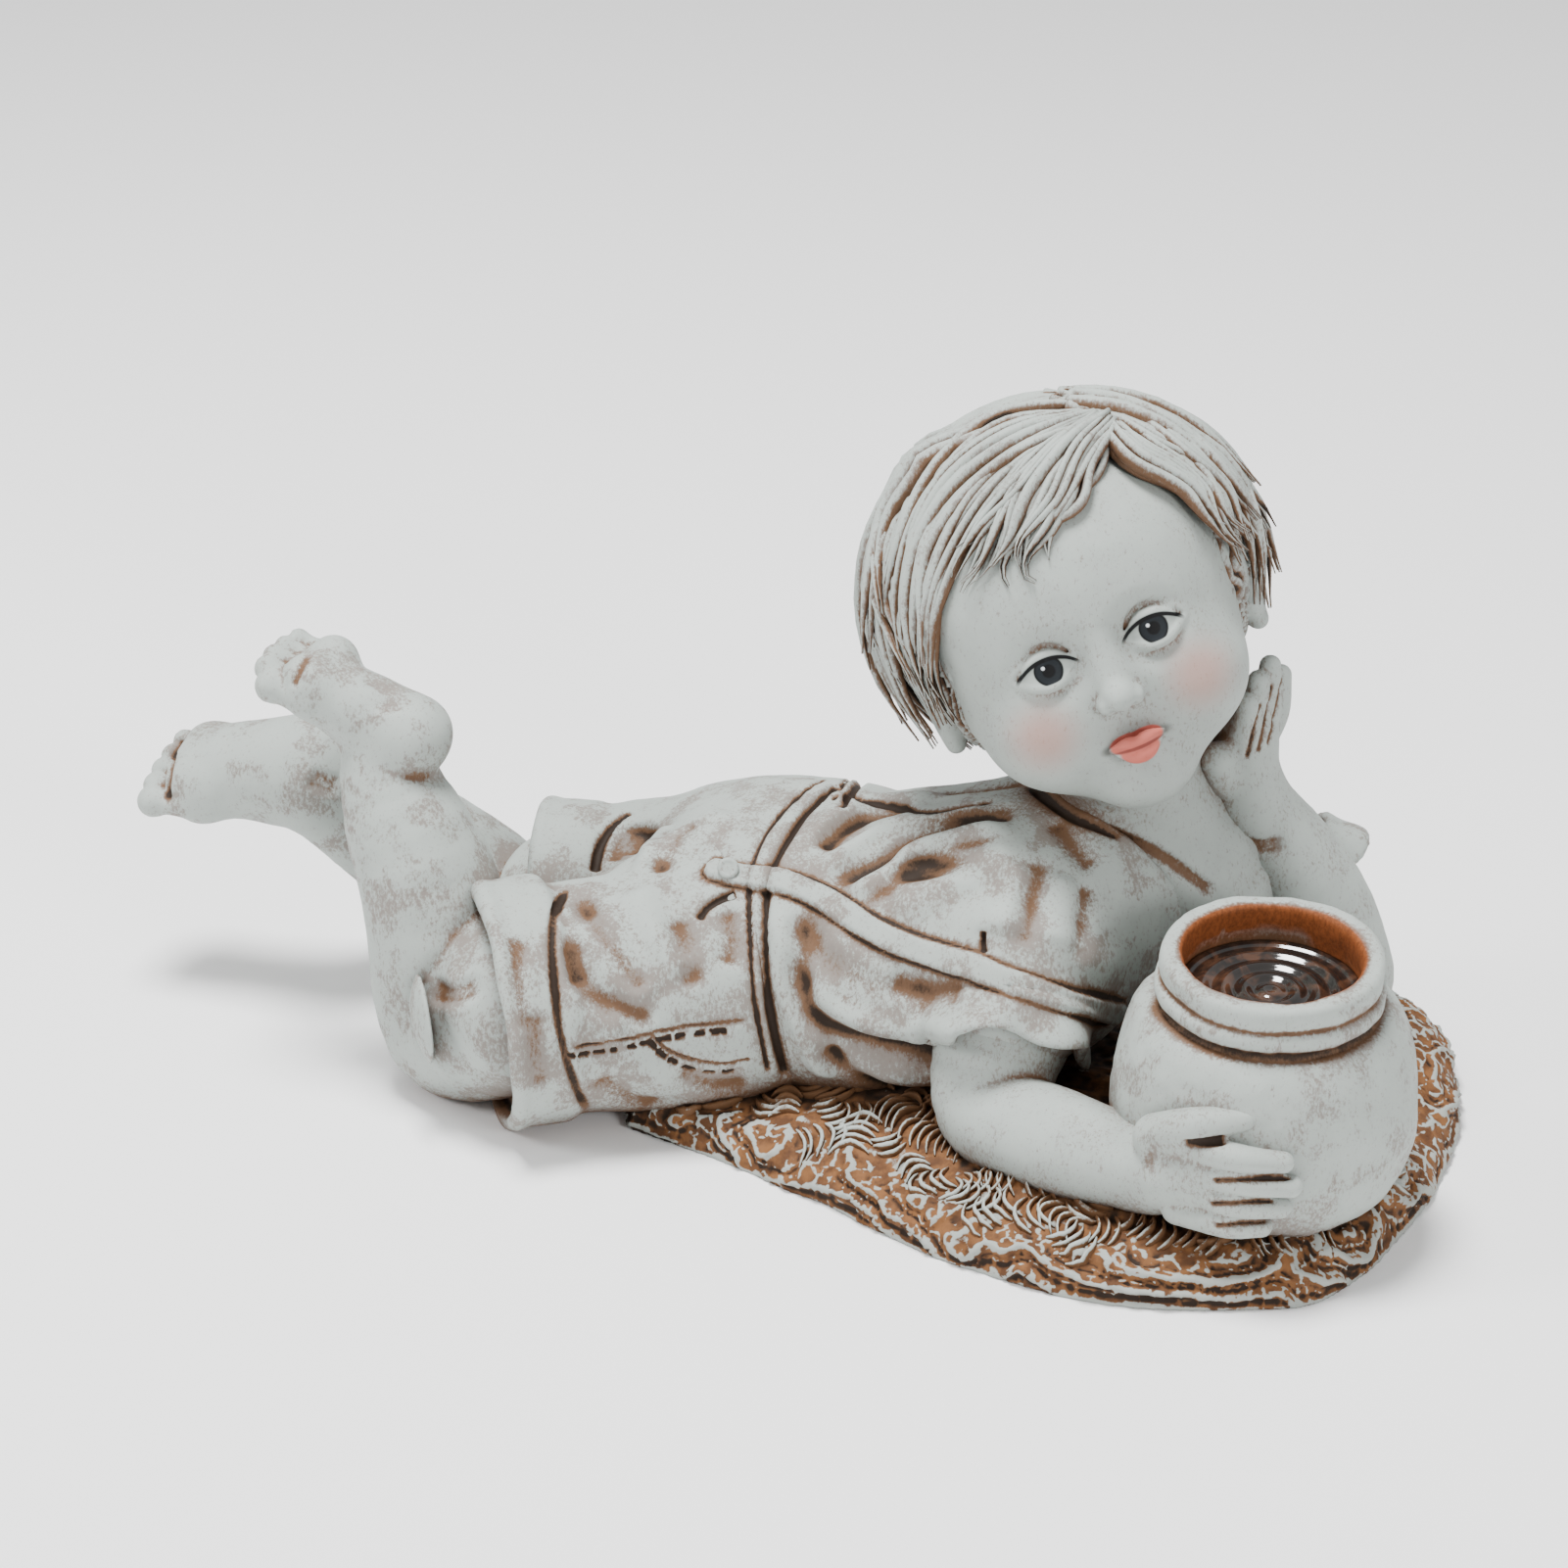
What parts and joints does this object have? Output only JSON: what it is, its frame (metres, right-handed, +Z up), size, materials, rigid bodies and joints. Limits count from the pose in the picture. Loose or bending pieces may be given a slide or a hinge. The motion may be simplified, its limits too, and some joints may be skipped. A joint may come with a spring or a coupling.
{
  "type": "garden statue",
  "caption": "Resin garden statue of a child lying on its front on a grassy mound, cheek on one hand, the other arm round an open pot with a dark ringed disc in its neck.",
  "frame": {"origin": "on the ground, under the middle of the statue's bounding box", "axes": "+X along the lying figure, from its feet to its head; -Y towards its right side, where the jar is; +Z up"},
  "size_m": [0.3254, 0.1522, 0.1705],
  "materials": {
    "pale_resin": "matte, washed with brown",
    "dark_lens": "glossy"
  },
  "bodies": {
    "root": {"statue": "pale_resin", "jar_insert": "dark_lens"}
  },
  "joints": []
}
